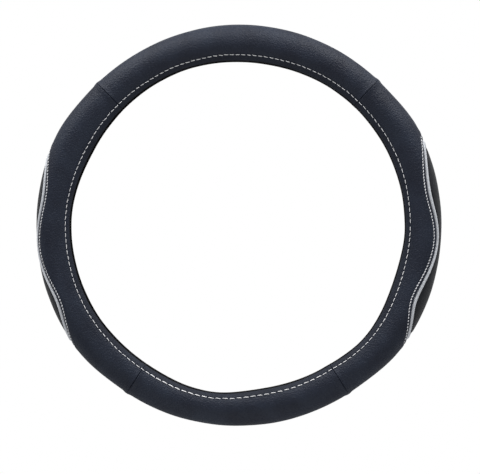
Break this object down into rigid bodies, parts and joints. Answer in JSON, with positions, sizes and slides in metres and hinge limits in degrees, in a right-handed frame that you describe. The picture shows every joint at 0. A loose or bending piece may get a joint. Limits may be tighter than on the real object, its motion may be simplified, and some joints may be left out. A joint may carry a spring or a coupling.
{
  "type": "steering wheel cover",
  "caption": "Leather steering wheel cover: a C-section sleeve closed into a ring, open towards the hole, with stitched lips and piped, lobed insert windows at its sides.",
  "frame": {"origin": "centre of the ring's outline, on the face it lies on", "axes": "+Z is the ring's axis, out of the face the driver sees; +X the cover's right-hand side and +Y its top, as seen from the front"},
  "size_m": [0.3844, 0.3816, 0.0358],
  "materials": {
    "main_leather": "matte fine grain",
    "insert_leather": "smooth satin",
    "piping_cloth": "ribbed silver-grey cord",
    "thread": "off-white sewing thread",
    "black_thread": "black sewing thread",
    "rubber": "matte moulded"
  },
  "bodies": {
    "root": {"inner_ring": "rubber", "top_panel": "main_leather", "bottom_panel": "main_leather", "left_panel": "main_leather", "right_panel": "main_leather", "left_insert": "insert_leather", "right_insert": "insert_leather", "left_front_piping": "piping_cloth", "left_back_piping": "piping_cloth", "right_front_piping": "piping_cloth", "right_back_piping": "piping_cloth"}
  },
  "joints": []
}
